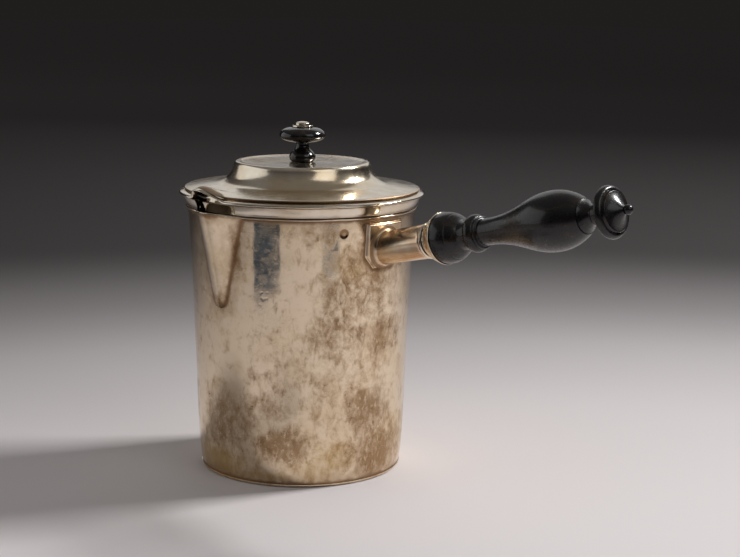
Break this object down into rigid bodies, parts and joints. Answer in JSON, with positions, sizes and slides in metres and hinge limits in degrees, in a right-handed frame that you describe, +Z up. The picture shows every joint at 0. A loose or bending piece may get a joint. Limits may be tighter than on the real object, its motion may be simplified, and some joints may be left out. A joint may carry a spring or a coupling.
{
  "type": "travel milk jug",
  "caption": "Tapering silver jug with a folded V spout, a lift-off domed lid with ebony knob and a turned ebony side handle that unscrews.",
  "frame": {"origin": "centre of the foot, on the surface that the jug stands on", "axes": "+Z up along the jug's axis, +X toward the handle, -Y toward the spout"},
  "size_m": [0.237, 0.1178, 0.1596],
  "materials": {
    "silver": "worn polished silver with brown and golden tarnish",
    "soldered_silver": "worn silver mouldings with tarnish in the joints",
    "ebony": "satin turned ebony",
    "polished_ebony": "glossy turned ebony",
    "steel": "plain dull steel"
  },
  "bodies": {
    "jug": {"body_wall": "silver", "base_disc": "silver", "mouth_wire": "soldered_silver", "spout_beak": "silver", "handle_plate": "soldered_silver", "handle_socket": "soldered_silver", "socket_bush": "steel"},
    "handle_ring": {"socket_washer": "silver"},
    "handle": {"handle_stud": "steel", "handle_ferrule": "soldered_silver", "handle_grip": "ebony", "handle_end": "ebony"},
    "lid": {"lid_crown": "silver", "lid_border": "soldered_silver", "lid_skirt": "silver", "lid_bezel": "silver", "lid_backplate": "silver", "finial_knob": "polished_ebony", "finial_washer": "silver", "finial_screw": "silver", "finial_nut": "steel"}
  },
  "joints": [
    {"name": "lid_lift", "type": "slide", "parent": "jug", "child": "lid", "axis": [0, 0, 1], "range_m": [0, 0.04]},
    {"name": "handle_draw", "type": "slide", "parent": "jug", "child": "handle_ring", "axis": [0.9728, 0, 0.2317], "range_m": [0, 0.01]},
    {"name": "handle_turn", "type": "hinge", "parent": "handle_ring", "child": "handle", "pos_m": [0, 0, 0.0948], "axis": [0.9728, 0, 0.2317], "range_deg": [0, 2880]}
  ],
  "couplings": [
    {"joint": "handle_draw", "follows": "handle_turn", "m_per_rad": 0.00019894}
  ]
}
